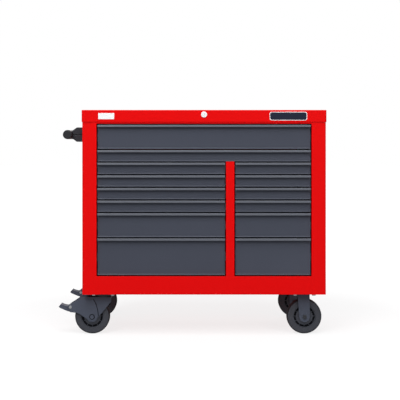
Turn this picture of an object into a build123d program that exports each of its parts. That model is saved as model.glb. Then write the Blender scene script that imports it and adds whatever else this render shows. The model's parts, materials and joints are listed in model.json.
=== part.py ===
"""Rolling tool chest: a steel cabinet with fourteen drawers, a push handle and four casters.

Millimetres. +Z is up, the drawers open towards -Y, and +X is the right-hand side seen from the front.
The origin is on the floor, in the middle of the whole chest's box.
"""

from build123d import *
from math import cos, radians, sin
import os

os.makedirs("parts", exist_ok=True)

# ---------------------------------------------------------------- cabinet
cabinet_width = 1143.0
cabinet_depth = 641.0
stile_width = 66.8
header_height = 64.0
bottom_rail_height = 85.3
divider_width = 39.4
left_bank_width = 607.6
skin = 1.5
inner_sheet = 1.2
stile_return = 32.0
rail_return = 28.0
rail_lip = 12.0
rear_flange = 25.0
outer_bend = 5.0
tight_bend = 0.4
cap_above_opening = 8.0
cap_gap = 1.5
base_rear_flange = 50.0
bead_count = 3
bead_height = 60.0
bead_round = 29.0
bead_depth = 3.4
bead_taper = 30.0
bead_side_margin = 150.0
shelf_flange = 12.0
weld_gap = 1.0

# ---------------------------------------------------------------- drawers
row_pitch = 59.27
top_row_units = (2, 1)
bank_row_units = (1, 1, 1, 1, 2, 3)
front_gap = 5.5
front_side_gap = 4.7
face_recess = 12.0
front_thickness = 18.0
drawer_sheet = 1.2
hem_height = 5.5
hem_reach = 2.4
pull_reach = 16.5
pull_lip = 11.0
pull_lean = 2.2
pull_sheet = 1.8
pull_hook = 5.0
pull_top_bend = 2.4
pull_lip_bend = 2.0
tray_top_drop = 13.0
tray_floor_lift = 4.0

# ---------------------------------------------------------------- slides
slide_setback = 36.0
slide_back_room = 55.0
slide_thickness = 12.7
slide_sheet = 1.4
slide_floor_gap = 4.9
slide_half_height = (row_pitch - front_gap + tray_floor_lift - tray_top_drop) / 2 - slide_floor_gap
ball_gap = 1.4
cabinet_member_flange = 9.0
mid_member_start = 3.0
mid_web_start = 5.6
mid_member_end = 10.0
drawer_member_start = 8.0

# ---------------------------------------------------------------- lock and plates
lock_below_top = 21.5
lock_face_radius = 14.0
lock_face_thickness = 3.0
lock_body_radius = 9.5
lock_length = 44.0
plug_radius = 7.0
plug_clearance = 0.05
key_slot_width = 1.6
key_slot_height = 8.0
key_slot_depth = 6.0
bar_drop = 10.0
crank_pin_radius = 2.5
crank_thickness = 3.0
crank_half_width = 6.0
bar_thickness = 3.0
bar_height = 24.0
bar_leg_width = 20.0
bar_leg_length = 640.0
bar_slot_clearance = 0.7
bar_slot_length = 15.3
bar_gap = 1.0
plate_thickness = 1.0
name_plate_width = 176.0
name_plate_height = 40.0
name_plate_round = 10.0
name_plate_x = 395.0
label_width = 75.0
label_height = 29.0
label_round = 2.0
label_x = -458.5
plate_drop = 1.0

# ---------------------------------------------------------------- push handle
handle_radius = 22.0
handle_length = 500.0
handle_wall = 2.5
handle_below_top = 115.0
handle_reach = 78.0
handle_cap = 10.0
bracket_height = 69.0
bracket_block = 37.0
bracket_thickness = 46.0
bracket_neck = 32.0
bracket_neck_reach = 63.0
bracket_inset = 60.0
bracket_groove = 3.0
bracket_groove_depth = 4.0

# ---------------------------------------------------------------- casters
wheel_radius = 82.5
wheel_width = 50.0
tyre_inner_radius = 54.0
tread_round = 11.0
hub_side_gap = 1.0
hub_boss_radius = 17.0
hub_disc_radius = 40.0
hub_disc_recess = 6.0
hub_groove_width = 20.0
hub_rim_inner = 50.0
hub_rim_recess = 4.0
axle_radius = 6.0
axle_head_radius = 10.2
axle_head_height = 6.0
axle_nut_height = 8.0
running_clearance = 0.05
leg_clearance = 6.0
fork_sheet = 5.0
fork_foot_radius = 25.0
fork_back_depth = 22.0
rigid_leg_front = 24.0
rigid_leg_back = 33.0
caster_inset_x = 94.0
caster_inset_y = 90.0
swivel_lead = 53.0
caster_rise = 31.0
plate_length = 112.0
plate_depth = 98.0
plate_height = 6.0
race_radius = 37.0
race_height = 13.0
race_gap = 1.0
crown_sheet = 6.0
crown_half_length = 37.0
king_pin_radius = 6.0
king_nut_radius = 10.2
king_nut_height = 9.0
brake_pivot_clearance = 20.5
brake_pivot_up = 46.0
arm_root_reach = 51.0
brake_nose_reach = 29.0
brake_nose_angle = -42.0
brake_nose_round = 4.0
brake_shoe_width = 40.0
brake_pin_radius = 4.0
brake_pin_head_radius = 6.8
brake_pin_head_height = 3.0
pedal_length = 57.0
pedal_side_gap = 7.0
pedal_barrel_radius = 9.0
bolt_radius = 5.0
bolt_head_height = 6.0
bolt_head_radius = 9.0
bolt_nut_height = 8.0
bolt_end_height = 2.0
bolt_spacing_x = 88.0
bolt_spacing_y = 72.0
hole_clearance = 0.3
channel_width = 124.0
channel_sheet = 3.0
channel_flange = 26.0
base_sheet = 2.0

# Outlines in (x, z). The foot's is from the axle, and the others are from the brake's pivot.
leg_foot_edge = ((24.0, -8.0), (0.0, -25.0), (-22.0, -12.0))
arm_low_edge = ((47.0, -35.0), (29.0, -27.0), (0.0, -24.0), (-10.0, -12.0))
arm_high_edge = ((-8.0, 7.0), (3.0, 14.0), (23.0, 27.0))
pedal_top_edge = ((-2.0, 7.0), (-17.0, 3.0), (-34.0, 7.0), (-46.0, 12.0))
pedal_low_edge = ((-50.0, -6.0), (-34.0, -13.0), (-17.0, -20.0), (-3.0, -24.0))

# ---------------------------------------------------------------- places worked out from the sizes
ride_height = 2 * wheel_radius + caster_rise
brake_pivot_back = wheel_radius + brake_pivot_clearance
fork_gap = wheel_width + 2 * leg_clearance
hub_length = fork_gap - 2 * hub_side_gap
hub_disc_width = wheel_width - 2 * hub_disc_recess
hub_rim_width = wheel_width - 2 * hub_rim_recess
pedal_half_width = fork_gap / 2 - pedal_side_gap
slide_length = cabinet_depth - slide_setback - slide_back_room
cap_skirt = header_height - cap_above_opening
cap_overhang = skin + cap_gap
units_high = sum(top_row_units) + sum(bank_row_units)
opening_width = cabinet_width - 2 * stile_width
opening_height = units_high * row_pitch + front_gap
base_z = ride_height
opening_bottom = base_z + bottom_rail_height
opening_top = opening_bottom + opening_height
top_z = opening_top + header_height
pedal_overhang = swivel_lead + brake_pivot_back + pedal_length - caster_inset_x
front_proud = max(pull_reach - face_recess, cap_overhang + lock_face_thickness)
body_x = (pedal_overhang - cap_overhang) / 2
body_y = (front_proud - cap_overhang) / 2
left_x = body_x - cabinet_width / 2
right_x = body_x + cabinet_width / 2
front_y = body_y - cabinet_depth / 2
back_y = body_y + cabinet_depth / 2
opening_left = left_x + stile_width
opening_right = right_x - stile_width
divider_left = opening_left + left_bank_width
divider_right = divider_left + divider_width
back_inner_y = back_y - skin - inner_sheet
split_z = opening_top - sum(top_row_units) * row_pitch
face_y = front_y + face_recess
slide_front_y = front_y + slide_setback
wall_foot_z = base_z + base_sheet + channel_sheet
lock_z = top_z - lock_below_top
plates_z = top_z - cap_skirt / 2 - plate_drop
axle_z = wheel_radius
plate_under_z = ride_height - plate_height
crown_top_z = plate_under_z - race_height - race_gap
front_caster_y = front_y + caster_inset_y
rear_caster_y = back_y - caster_inset_y
swivel_x = left_x + caster_inset_x
rigid_x = right_x - caster_inset_x


def keep(solids, name):
    """Writes one node: a single solid, or several separate ones together."""
    node = solids[0] if len(solids) == 1 else Compound(children=solids)
    node.label = name
    export_step(node, f"parts/{name}.step")


def block(low, high):
    """A box from its lowest to its highest corner."""
    sizes = [b - a for a, b in zip(low, high)]
    with BuildPart() as made:
        with BuildSketch(Plane.XY.offset(low[2])):
            with Locations(((low[0] + high[0]) / 2, (low[1] + high[1]) / 2)):
                Rectangle(sizes[0], sizes[1])
        extrude(amount=sizes[2])
    return made.part


# ---------------------------------------------------------------- side panels
def side_panel(side):
    """One outer side with the stile folded across the front; side is -1 at the left, 1 at the right."""
    outer = left_x if side < 0 else right_x
    inner = outer - side * stile_width
    points = (
        (inner, front_y + stile_return),
        (inner, front_y),
        (outer, front_y),
        (outer, back_y),
        (outer - side * rear_flange, back_y),
    )
    turn = Side.LEFT if side > 0 else Side.RIGHT
    with BuildPart() as panel:
        with BuildSketch(Plane.XY.offset(base_z)):
            with BuildLine():
                FilletPolyline(*points, radius=(tight_bend, outer_bend, outer_bend))
                offset(amount=skin, side=turn)
            make_face()
        extrude(amount=top_z - skin - base_z)
    return panel


for side, name in ((-1, "side_panel_left"), (1, "side_panel_right")):
    panel = side_panel(side)
    keep([panel.part], name)


# ---------------------------------------------------------------- inner walls, divider and shelf
def inner_wall(side):
    """The wall that carries the slides, in line with the opening's edge."""
    face = opening_left if side < 0 else opening_right
    points = (
        (face, front_y + stile_return),
        (face, back_inner_y),
        (face + side * rear_flange, back_inner_y),
    )
    turn = Side.RIGHT if side > 0 else Side.LEFT
    with BuildPart() as wall:
        with BuildSketch(Plane.XY.offset(wall_foot_z)):
            with BuildLine():
                FilletPolyline(*points, radius=tight_bend + inner_sheet)
                offset(amount=inner_sheet, side=turn)
            make_face()
        extrude(amount=opening_top - wall_foot_z)
    return wall


for side, name in ((-1, "inner_wall_left"), (1, "inner_wall_right")):
    wall = inner_wall(side)
    keep([wall.part], name)

with BuildPart() as centre_divider:
    with BuildSketch(Plane.XY.offset(base_z + base_sheet)):
        with BuildLine():
            FilletPolyline(
                (divider_left, back_inner_y),
                (divider_left, front_y),
                (divider_right, front_y),
                (divider_right, back_inner_y),
                radius=tight_bend,
            )
            offset(amount=inner_sheet, side=Side.LEFT)
        make_face()
    extrude(amount=split_z - base_z - base_sheet)
    with BuildSketch(Plane.XY.offset(base_z)):
        with Locations(((divider_left + divider_right) / 2, front_y)):
            Rectangle(2 * divider_width, 2 * rail_return)
    extrude(amount=opening_bottom - base_z, mode=Mode.SUBTRACT)
    shelf_front_y = face_y + front_thickness + weld_gap
    with BuildSketch(Plane.XY.offset(split_z - skin - shelf_flange)):
        with Locations(((divider_left + divider_right) / 2, (shelf_front_y + back_inner_y) / 2)):
            Rectangle(2 * divider_width, back_inner_y - shelf_front_y)
    extrude(amount=skin + shelf_flange, mode=Mode.SUBTRACT)
keep([centre_divider.part], "centre_divider")

with BuildPart() as divider_shelf:
    with BuildSketch(Plane.YZ.offset(opening_left)):
        with BuildLine():
            FilletPolyline(
                (shelf_front_y, split_z - skin - shelf_flange),
                (shelf_front_y, split_z),
                (back_inner_y, split_z),
                (back_inner_y, split_z - skin - shelf_flange),
                radius=tight_bend + skin,
            )
            offset(amount=skin, side=Side.RIGHT)
        make_face()
    extrude(amount=opening_width)
keep([divider_shelf.part], "divider_shelf")


# ---------------------------------------------------------------- back, base, cap and header
back_width = cabinet_width - 2 * skin - 2 * outer_bend
back_bottom_z = base_z + base_sheet
back_height = top_z - skin - back_bottom_z
bead_pitch = back_height / bead_count
bead_places = [(body_x, back_bottom_z + bead_pitch * (row + 0.5)) for row in range(bead_count)]
bead_length = back_width - 2 * bead_side_margin
with BuildPart() as back_panel:
    with BuildSketch(Plane.XZ.offset(-(back_y - skin))):
        with Locations((body_x, back_bottom_z + back_height / 2)):
            Rectangle(back_width, back_height)
    extrude(amount=inner_sheet)
    with BuildSketch(Plane.XZ.offset(-(back_y - skin))):
        with Locations(*bead_places):
            RectangleRounded(bead_length, bead_height, bead_round)
    extrude(amount=-bead_depth, taper=bead_taper)
    with BuildSketch(Plane.XZ.offset(-back_inner_y)):
        with Locations(*bead_places):
            RectangleRounded(
                bead_length - 2 * inner_sheet,
                bead_height - 2 * inner_sheet,
                bead_round - inner_sheet,
            )
    extrude(amount=-bead_depth, taper=bead_taper, mode=Mode.SUBTRACT)
keep([back_panel.part], "back_panel")

floor_left = left_x + skin
floor_right = right_x - skin
with BuildPart() as base_pan:
    add(block((floor_left, front_y + skin, base_z), (floor_right, back_y - skin, base_z + base_sheet)))
    fillet(base_pan.edges().filter_by(Axis.Z), outer_bend)
    with BuildSketch(Plane.YZ.offset(opening_left)):
        with BuildLine():
            FilletPolyline(
                (front_y + skin + 2 * outer_bend, base_z),
                (front_y, base_z),
                (front_y, opening_bottom),
                (front_y + rail_return, opening_bottom),
                (front_y + rail_return, opening_bottom - rail_lip),
                radius=(outer_bend / 2, tight_bend, tight_bend + skin),
            )
            offset(amount=skin, side=Side.RIGHT)
        make_face()
    extrude(amount=opening_width)
    add(
        block(
            (left_x + rear_flange, back_y - skin, base_z),
            (right_x - rear_flange, back_y, base_z + base_rear_flange),
        )
    )
    for return_left in (opening_left - skin, opening_right):
        return_slot = block(
            (return_left, front_y, base_z),
            (return_left + skin, front_y + stile_return, base_z + base_sheet),
        )
        add(return_slot, mode=Mode.SUBTRACT)
    for plate_x in (swivel_x, rigid_x):
        for plate_y in (front_caster_y, rear_caster_y):
            with BuildSketch(Plane.XY.offset(base_z)):
                with Locations((plate_x, plate_y)):
                    with GridLocations(bolt_spacing_x, bolt_spacing_y, 2, 2):
                        Circle(bolt_radius + hole_clearance)
            extrude(amount=base_sheet, mode=Mode.SUBTRACT)
keep([base_pan.part], "base_pan")

cap_low = (left_x - cap_overhang, front_y - cap_overhang, top_z - cap_skirt)
cap_high = (right_x + cap_overhang, back_y + cap_overhang, top_z)
with BuildPart() as cap_inside:
    inside_low = (cap_low[0] + skin, cap_low[1] + skin, cap_low[2])
    inside_high = (cap_high[0] - skin, cap_high[1] - skin, cap_high[2] - skin)
    add(block(inside_low, inside_high))
    fillet(cap_inside.edges().filter_by(Axis.Z), outer_bend + cap_gap)
    fillet(cap_inside.edges().group_by(Axis.Z)[-1], cap_gap)
with BuildPart() as top_cap:
    add(block(cap_low, cap_high))
    fillet(top_cap.edges().filter_by(Axis.Z), outer_bend + cap_overhang)
    fillet(top_cap.edges().group_by(Axis.Z)[-1], cap_overhang)
    add(cap_inside.part, mode=Mode.SUBTRACT)
    with BuildSketch(Plane.XZ.offset(-(front_y - cap_overhang))):
        with Locations((body_x, lock_z)):
            Circle(lock_body_radius + hole_clearance)
    extrude(amount=-cap_overhang, mode=Mode.SUBTRACT)
keep([top_cap.part], "top_cap")

with BuildPart() as header_rail:
    with BuildSketch(Plane.YZ.offset(opening_left)):
        with BuildLine():
            FilletPolyline(
                (front_y + rail_return, top_z - skin),
                (front_y, top_z - skin),
                (front_y, opening_top),
                (front_y + rail_return, opening_top),
                (front_y + rail_return, opening_top + rail_lip),
                radius=(tight_bend + skin, tight_bend, tight_bend + skin),
            )
            offset(amount=skin, side=Side.LEFT)
        make_face()
    extrude(amount=opening_width)
    with BuildSketch(Plane.XZ.offset(-front_y)):
        with Locations((body_x, lock_z)):
            Circle(lock_body_radius + hole_clearance)
    extrude(amount=-skin, mode=Mode.SUBTRACT)
keep([header_rail.part], "header_rail")


# ---------------------------------------------------------------- drawer slides
mid_half_height = slide_half_height - slide_sheet - ball_gap
drawer_half_height = mid_half_height - slide_sheet - ball_gap


def channel(wall_x, facing, centre_z, web, flange_span, half_height, label):
    """One slide member. Depths are measured from the wall, facing into the opening."""
    with BuildPart() as member:
        with BuildSketch(Plane.XZ.offset(-slide_front_y)):
            web_x = wall_x + facing * (web[0] + web[1]) / 2
            with Locations((web_x, centre_z)):
                Rectangle(web[1] - web[0], 2 * half_height)
            flange_x = wall_x + facing * (flange_span[0] + flange_span[1]) / 2
            flange_z = half_height - slide_sheet / 2
            with Locations((flange_x, centre_z + flange_z), (flange_x, centre_z - flange_z)):
                Rectangle(flange_span[1] - flange_span[0], slide_sheet)
        extrude(amount=-slide_length)
    member.part.label = label
    return member.part


def slide_pair(bank, centre_z, kind):
    """The two members of one kind, at both sides of a bank."""
    webs = {
        "cabinet": ((0, slide_sheet), (0, cabinet_member_flange), slide_half_height),
        "mid": (
            (mid_web_start, mid_web_start + slide_sheet),
            (mid_member_start, mid_member_end),
            mid_half_height,
        ),
        "drawer": (
            (slide_thickness - slide_sheet, slide_thickness),
            (drawer_member_start, slide_thickness),
            drawer_half_height,
        ),
    }
    web, flanges, half_height = webs[kind]
    left = channel(bank[0], 1, centre_z, web, flanges, half_height, kind + "_member_left")
    right = channel(bank[1], -1, centre_z, web, flanges, half_height, kind + "_member_right")
    return [left, right]


# ---------------------------------------------------------------- drawers
def drawer_solids(bank, low_z, height):
    """The tray, the front pan and the pull of one drawer whose front stands on low_z."""
    front_left = bank[0] + front_side_gap
    front_width = bank[1] - bank[0] - 2 * front_side_gap
    pan_top = low_z + height - pull_sheet
    front_back_y = face_y + front_thickness
    with BuildPart() as pan:
        with BuildSketch(Plane.YZ.offset(front_left)):
            with BuildLine():
                Polyline(
                    (front_back_y, low_z),
                    (face_y - hem_reach, low_z),
                    (face_y - hem_reach, low_z + hem_height / 3),
                    (face_y, low_z + hem_height),
                    (face_y, pan_top),
                    (front_back_y, pan_top),
                    close=True,
                )
            make_face()
        extrude(amount=front_width)
        pocket = block(
            (front_left + drawer_sheet, face_y + drawer_sheet, low_z + drawer_sheet),
            (front_left + front_width - drawer_sheet, front_back_y, pan_top - drawer_sheet),
        )
        add(pocket, mode=Mode.SUBTRACT)
    pan.part.label = "front_pan"

    pull_front = face_y - pull_reach
    pull_top = low_z + height
    with BuildPart() as pull:
        with BuildSketch(Plane.YZ.offset(front_left)):
            with BuildLine():
                FilletPolyline(
                    (front_back_y, pull_top),
                    (pull_front + pull_lean, pull_top),
                    (pull_front, pull_top - pull_lip),
                    (pull_front + pull_hook, pull_top - pull_lip),
                    radius=(pull_top_bend, pull_lip_bend),
                )
                offset(amount=pull_sheet, side=Side.LEFT)
            make_face()
        extrude(amount=front_width)
    pull.part.label = "pull"

    tray_left = bank[0] + slide_thickness
    tray_right = bank[1] - slide_thickness
    tray_low = low_z + tray_floor_lift
    tray_high = low_z + height - tray_top_drop
    tray_back = slide_front_y + slide_length
    with BuildPart() as tray:
        add(block((tray_left, front_back_y, tray_low), (tray_right, tray_back, tray_high)))
        offset(amount=-drawer_sheet, openings=tray.faces().sort_by(Axis.Z)[-1])
    tray.part.label = "tray"
    return [tray.part, pan.part, pull.part]


full_bank = (opening_left, opening_right)
left_bank = (opening_left, divider_left)
right_bank = (divider_right, opening_right)
rows = []
row_top = opening_top
for number, units in enumerate(top_row_units, 1):
    rows.append((f"top_{number}", full_bank, row_top - units * row_pitch, units))
    row_top -= units * row_pitch
for number, units in enumerate(bank_row_units, 1):
    rows.append((f"left_{number}", left_bank, row_top - units * row_pitch, units))
    rows.append((f"right_{number}", right_bank, row_top - units * row_pitch, units))
    row_top -= units * row_pitch

cabinet_members = []
for name, bank, row_low, units in rows:
    height = units * row_pitch - front_gap
    tray_middle = row_low + (tray_floor_lift + height - tray_top_drop) / 2
    solids = drawer_solids(bank, row_low, height)
    solids += slide_pair(bank, tray_middle, "drawer")
    keep(solids, f"drawer_{name}")
    keep(slide_pair(bank, tray_middle, "mid"), f"mid_slides_{name}")
    cabinet_members += slide_pair(bank, tray_middle, "cabinet")
keep(cabinet_members, "cabinet_slide_members")


# ---------------------------------------------------------------- lock
cap_front_y = front_y - cap_overhang
crank_y = cap_front_y + lock_length
bar_y = crank_y + crank_thickness + bar_gap
crank_radius = bar_drop / 2 / sin(radians(45))
pin_rest = (body_x + bar_drop / 2, lock_z + bar_drop / 2)


def disc(radius, place, from_y, to_y):
    """A round solid along Y, centred on place (x, z)."""
    with BuildPart() as made:
        with BuildSketch(Plane.XZ.offset(-from_y)):
            with Locations(place):
                Circle(radius)
        extrude(amount=from_y - to_y)
    return made.part


with BuildPart() as lock_housing:
    add(disc(lock_face_radius, (body_x, lock_z), cap_front_y - lock_face_thickness, cap_front_y))
    fillet(lock_housing.edges().sort_by(Axis.Y)[0], lock_face_thickness / 2)
    add(disc(lock_body_radius, (body_x, lock_z), cap_front_y, crank_y))
    bore_radius = plug_radius + plug_clearance
    bore_front_y = cap_front_y - lock_face_thickness
    add(disc(bore_radius, (body_x, lock_z), bore_front_y, crank_y), mode=Mode.SUBTRACT)
keep([lock_housing.part], "lock_housing")

with BuildPart() as lock_cylinder:
    add(disc(plug_radius, (body_x, lock_z), cap_front_y - lock_face_thickness, crank_y + crank_thickness))
    with BuildSketch(Plane.XZ.offset(-crank_y)):
        with BuildLine():
            Line((body_x, lock_z), pin_rest)
            offset(amount=crank_half_width, side=Side.BOTH)
        make_face()
    extrude(amount=-crank_thickness)
    add(disc(crank_pin_radius, pin_rest, crank_y, bar_y + bar_thickness + bar_gap))
    with BuildSketch(Plane.XZ.offset(-(cap_front_y - lock_face_thickness))):
        with Locations((body_x, lock_z)):
            Rectangle(key_slot_width, key_slot_height)
    extrude(amount=-key_slot_depth, mode=Mode.SUBTRACT)
keep([lock_cylinder.part], "lock_cylinder")

bar_left = opening_left - stile_width / 2 - bar_leg_width / 2
bar_right = opening_right + stile_width / 2 + bar_leg_width / 2
bar_low = pin_rest[1] - bar_height / 2
with BuildPart() as lock_bar:
    add(block((bar_left, bar_y, bar_low), (bar_right, bar_y + bar_thickness, bar_low + bar_height)))
    for leg_left in (bar_left, bar_right - bar_leg_width):
        add(
            block(
                (leg_left, bar_y, bar_low - bar_leg_length),
                (leg_left + bar_leg_width, bar_y + bar_thickness, bar_low),
            )
        )
    slot_half = crank_pin_radius + bar_slot_clearance
    with BuildSketch(Plane.XZ.offset(-bar_y)):
        with Locations((pin_rest[0] + slot_half / 2, pin_rest[1])):
            SlotOverall(bar_slot_length, 2 * slot_half)
    extrude(amount=-bar_thickness, mode=Mode.SUBTRACT)
keep([lock_bar.part], "lock_bar")

with BuildPart() as name_plate:
    with BuildSketch(Plane.XZ.offset(-cap_front_y)):
        with Locations((body_x + name_plate_x, plates_z)):
            RectangleRounded(name_plate_width, name_plate_height, name_plate_round)
    extrude(amount=plate_thickness)
name_plate.part.label = "name_plate"
with BuildPart() as label_plate:
    with BuildSketch(Plane.XZ.offset(-cap_front_y)):
        with Locations((body_x + label_x, plates_z)):
            RectangleRounded(label_width, label_height, label_round)
    extrude(amount=plate_thickness)
label_plate.part.label = "label_plate"
keep([name_plate.part, label_plate.part], "front_plates")


# ---------------------------------------------------------------- push handle
handle_place = (left_x - handle_reach, top_z - handle_below_top)
handle_front_y = body_y - handle_length / 2
handle_back_y = body_y + handle_length / 2
with BuildPart() as handle_tube:
    add(disc(handle_radius, handle_place, handle_front_y + handle_cap, handle_back_y - handle_cap))
    tube_bore = disc(
        handle_radius - handle_wall,
        handle_place,
        handle_front_y + handle_cap,
        handle_back_y - handle_cap,
    )
    add(tube_bore, mode=Mode.SUBTRACT)
handle_tube.part.label = "tube"
handle_caps = []
for cap_low_y, outer_end in ((handle_front_y, 0), (handle_back_y - handle_cap, -1)):
    with BuildPart() as end_cap:
        add(disc(handle_radius, handle_place, cap_low_y, cap_low_y + handle_cap))
        rims = end_cap.edges().filter_by(GeomType.CIRCLE).sort_by(Axis.Y)
        fillet(rims[outer_end], handle_cap / 2)
    end_cap.part.label = "end_cap"
    handle_caps.append(end_cap.part)
keep([handle_tube.part] + handle_caps, "push_handle")

brackets = []
for bracket_y in (handle_front_y + bracket_inset, handle_back_y - bracket_inset):
    with BuildPart() as bracket:
        with BuildSketch(Plane.XZ.offset(-(bracket_y - bracket_thickness / 2))):
            with BuildLine():
                Polyline(
                    (left_x, handle_place[1] + bracket_height / 2),
                    (left_x - bracket_block, handle_place[1] + bracket_height / 2),
                    (left_x - bracket_neck_reach, handle_place[1] + bracket_neck / 2),
                    (left_x - handle_reach, handle_place[1] + bracket_neck / 2),
                    (left_x - handle_reach, handle_place[1] - bracket_neck / 2),
                    (left_x - bracket_neck_reach, handle_place[1] - bracket_neck / 2),
                    (left_x - bracket_block, handle_place[1] - bracket_height / 2),
                    (left_x, handle_place[1] - bracket_height / 2),
                    close=True,
                )
            make_face()
        extrude(amount=-bracket_thickness)
        groove_low = handle_place[1] - bracket_groove / 2
        groove_high = handle_place[1] + bracket_groove / 2
        for groove_y in (bracket_y - bracket_thickness / 2, bracket_y + bracket_thickness / 2):
            groove = block(
                (left_x - handle_reach, groove_y - bracket_groove_depth, groove_low),
                (left_x, groove_y + bracket_groove_depth, groove_high),
            )
            add(groove, mode=Mode.SUBTRACT)
        add(disc(handle_radius, handle_place, handle_front_y, handle_back_y), mode=Mode.SUBTRACT)
    bracket.part.label = "bracket"
    brackets.append(bracket.part)
keep(brackets, "push_handle_brackets")


# ---------------------------------------------------------------- casters
def wheel(axle_x, wheel_y):
    """A tyre bonded round its hub core, which turns on a plain axle bolt."""
    plane = Plane((axle_x, wheel_y, axle_z), x_dir=(1, 0, 0), z_dir=(0, 0, 1))
    axis = Axis((axle_x, wheel_y, axle_z), (0, 1, 0))
    with BuildPart() as tyre:
        with BuildSketch(plane):
            with Locations(((tyre_inner_radius + wheel_radius) / 2, 0)):
                Rectangle(wheel_radius - tyre_inner_radius, wheel_width)
        revolve(axis=axis)
        outer = tyre.edges().filter_by(GeomType.CIRCLE).sort_by(SortBy.RADIUS)[-2:]
        fillet(outer, tread_round)
    tyre.part.label = "tyre"
    bore = axle_radius + running_clearance
    with BuildPart() as hub:
        with BuildSketch(plane):
            for inner, outer_radius, width in (
                (bore, hub_boss_radius, hub_length),
                (hub_boss_radius, hub_disc_radius, hub_disc_width),
                (hub_disc_radius, hub_rim_inner, hub_groove_width),
                (hub_rim_inner, tyre_inner_radius, hub_rim_width),
            ):
                with Locations(((inner + outer_radius) / 2, 0)):
                    Rectangle(outer_radius - inner, width)
        revolve(axis=axis)
    hub.part.label = "hub"
    return [tyre.part, hub.part]


def fork_legs(outline, axle_x, wheel_y, holes):
    """Two upright legs from one side outline of (x, z) points round the axle."""
    legs = []
    for inner_y in (wheel_y - fork_gap / 2 - fork_sheet, wheel_y + fork_gap / 2):
        with BuildPart() as leg:
            with BuildSketch(Plane.XZ.offset(-inner_y)) as shape:
                with BuildLine():
                    Polyline(*[(axle_x + x, axle_z + z) for x, z in outline], close=True)
                make_face()
                with Locations((axle_x, axle_z)):
                    Circle(fork_foot_radius)
                for hole_x, hole_z, radius in holes:
                    with Locations((axle_x + hole_x, axle_z + hole_z)):
                        Circle(radius, mode=Mode.SUBTRACT)
            extrude(amount=-fork_sheet)
        legs.append(leg.part)
    return legs


def swivel_fork(wheel_y):
    """The leaning legs, the brake arms and the crown that turns on the king pin."""
    axle_x = swivel_x - swivel_lead
    top = crown_top_z - axle_z
    crown_right = swivel_lead + crown_half_length
    back_edge = ((crown_right, top), (crown_right, top - fork_back_depth))
    arm_edge = [(x - brake_pivot_back, z + brake_pivot_up) for x, z in arm_low_edge + arm_high_edge]
    arm_root = (arm_root_reach - brake_pivot_back, top)
    outline = (*back_edge, *leg_foot_edge, *arm_edge, arm_root)
    holes = (
        (0, 0, axle_radius + hole_clearance),
        (-brake_pivot_back, brake_pivot_up, brake_pin_radius + hole_clearance),
    )
    half_width = fork_gap / 2 + fork_sheet
    with BuildPart() as fork:
        for leg in fork_legs(outline, axle_x, wheel_y, holes):
            add(leg)
        add(
            block(
                (axle_x + swivel_lead / 4, wheel_y - half_width, crown_top_z - crown_sheet),
                (axle_x + crown_right, wheel_y + half_width, crown_top_z),
            )
        )
        with BuildSketch(Plane.XY.offset(crown_top_z)):
            with Locations((swivel_x, wheel_y)):
                Circle(king_pin_radius + running_clearance)
        extrude(amount=-crown_sheet, mode=Mode.SUBTRACT)
    return fork.part


def mounting_plate(plate_x, plate_y):
    """A caster's top plate with its four bolt holes."""
    with BuildPart() as plate:
        with BuildSketch(Plane.XY.offset(plate_under_z)):
            with Locations((plate_x, plate_y)):
                RectangleRounded(plate_length, plate_depth, plate_height)
                with GridLocations(bolt_spacing_x, bolt_spacing_y, 2, 2):
                    Circle(bolt_radius + hole_clearance, mode=Mode.SUBTRACT)
        extrude(amount=plate_height)
    return plate.part


def swivel_plate(plate_y):
    """The top plate, the raceway under it and the king pin with its nut."""
    with BuildPart() as plate:
        add(mounting_plate(swivel_x, plate_y))
        with BuildSketch(Plane.XY.offset(plate_under_z)):
            with Locations((swivel_x, plate_y)):
                Circle(race_radius)
        extrude(amount=-race_height)
        with BuildSketch(Plane.XY.offset(plate_under_z)):
            with Locations((swivel_x, plate_y)):
                Circle(king_pin_radius)
        nut_top_z = crown_top_z - crown_sheet - race_gap
        extrude(amount=nut_top_z - king_nut_height - plate_under_z)
        with BuildSketch(Plane.XY.offset(nut_top_z)):
            with Locations((swivel_x, plate_y)):
                RegularPolygon(king_nut_radius, 6)
        extrude(amount=-king_nut_height)
    plate.part.label = "swivel_plate"
    return plate.part


def rigid_fork(wheel_y):
    """A plate with two straight legs."""
    top = plate_under_z - axle_z
    outline = (
        (rigid_leg_front, top),
        (fork_foot_radius, 0),
        (0, -fork_foot_radius),
        (-fork_foot_radius, 0),
        (-rigid_leg_back, top),
    )
    with BuildPart() as fork:
        for leg in fork_legs(outline, rigid_x, wheel_y, ((0, 0, axle_radius + hole_clearance),)):
            add(leg)
        add(mounting_plate(rigid_x, wheel_y))
    fork.part.label = "rigid_fork"
    return fork.part


def axle_bolt(axle_x, wheel_y):
    """The bolt that a wheel turns on, with its head and nut outside the legs."""
    half_width = fork_gap / 2 + fork_sheet
    place = (axle_x, axle_z)
    with BuildPart() as bolt:
        add(disc(axle_radius, place, wheel_y - half_width, wheel_y + half_width))
        ends = ((wheel_y - half_width, axle_head_height), (wheel_y + half_width, -axle_nut_height))
        for from_y, thickness in ends:
            with BuildSketch(Plane.XZ.offset(-from_y)):
                with Locations(place):
                    RegularPolygon(axle_head_radius, 6)
            extrude(amount=thickness)
    bolt.part.label = "axle_bolt"
    return bolt.part


def brake_pin(axle_x, wheel_y):
    """The rivet that the pedal turns on."""
    half_width = fork_gap / 2 + fork_sheet
    place = (axle_x - brake_pivot_back, axle_z + brake_pivot_up)
    with BuildPart() as pin:
        add(disc(brake_pin_radius, place, wheel_y - half_width, wheel_y + half_width))
        for face_side in (-1, 1):
            leg_face_y = wheel_y + face_side * half_width
            head_y = leg_face_y + face_side * brake_pin_head_height
            low_y, high_y = sorted((leg_face_y, head_y))
            add(disc(brake_pin_head_radius, place, low_y, high_y))
    pin.part.label = "brake_pin"
    return pin.part


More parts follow.
